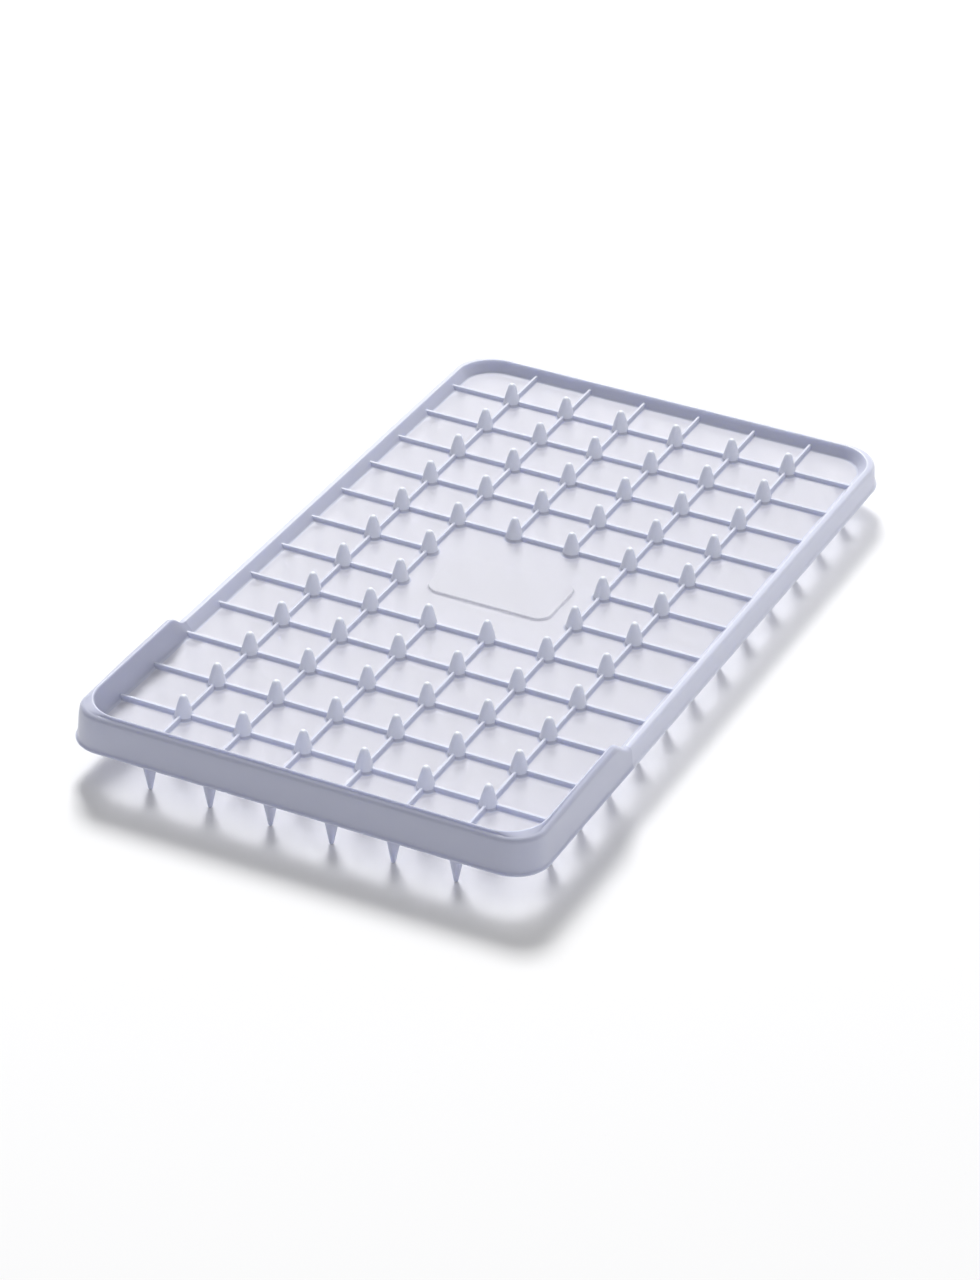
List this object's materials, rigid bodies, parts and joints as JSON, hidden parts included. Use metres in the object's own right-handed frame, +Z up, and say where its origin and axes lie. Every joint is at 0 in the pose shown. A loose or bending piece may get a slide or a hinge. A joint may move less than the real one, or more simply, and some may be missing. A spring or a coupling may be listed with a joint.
{
  "type": "iron rest mat",
  "caption": "Rectangular translucent silicone rest mat for a hot iron: ribbed tray floor with tapered pegs above and tapered feet below, a low rim, and a raised guard round one end.",
  "frame": {"origin": "centre of the mat's footprint, on the plane that the foot tips stand on", "axes": "+X across the mat's width, +Y along its length from the raised guard towards the low end, +Z up"},
  "size_m": [0.1538, 0.2697, 0.0229],
  "materials": {
    "floor_sheet": "frosted translucent silicone, bluish grey, satin",
    "stud_row_01": "frosted translucent silicone, bluish grey, satin",
    "stud_row_02": "frosted translucent silicone, bluish grey, satin",
    "stud_row_03": "frosted translucent silicone, bluish grey, satin",
    "stud_row_04": "frosted translucent silicone, bluish grey, satin",
    "stud_row_05": "frosted translucent silicone, bluish grey, satin",
    "stud_row_08": "frosted translucent silicone, bluish grey, satin",
    "stud_row_09": "frosted translucent silicone, bluish grey, satin",
    "stud_row_10": "frosted translucent silicone, bluish grey, satin",
    "stud_row_11": "frosted translucent silicone, bluish grey, satin",
    "stud_row_12": "frosted translucent silicone, bluish grey, satin",
    "stud_row_06_left": "frosted translucent silicone, bluish grey, satin",
    "stud_row_06_right": "frosted translucent silicone, bluish grey, satin",
    "stud_row_07_left": "frosted translucent silicone, bluish grey, satin",
    "stud_row_07_right": "frosted translucent silicone, bluish grey, satin",
    "guard_front": "frosted translucent silicone, bluish grey, satin",
    "guard_left": "frosted translucent silicone, bluish grey, satin",
    "guard_right": "frosted translucent silicone, bluish grey, satin",
    "rim_left": "frosted translucent silicone, bluish grey, satin",
    "rim_right": "frosted translucent silicone, bluish grey, satin",
    "rim_back": "frosted translucent silicone, bluish grey, satin",
    "centre_pad": "frosted translucent silicone, bluish grey, satin"
  },
  "bodies": {
    "root": {"floor_sheet": "floor_sheet", "stud_row_01": "stud_row_01", "stud_row_02": "stud_row_02", "stud_row_03": "stud_row_03", "stud_row_04": "stud_row_04", "stud_row_05": "stud_row_05", "stud_row_08": "stud_row_08", "stud_row_09": "stud_row_09", "stud_row_10": "stud_row_10", "stud_row_11": "stud_row_11", "stud_row_12": "stud_row_12", "stud_row_06_left": "stud_row_06_left", "stud_row_06_right": "stud_row_06_right", "stud_row_07_left": "stud_row_07_left", "stud_row_07_right": "stud_row_07_right", "guard_front": "guard_front", "guard_left": "guard_left", "guard_right": "guard_right", "rim_left": "rim_left", "rim_right": "rim_right", "rim_back": "rim_back", "centre_pad": "centre_pad"}
  },
  "joints": []
}
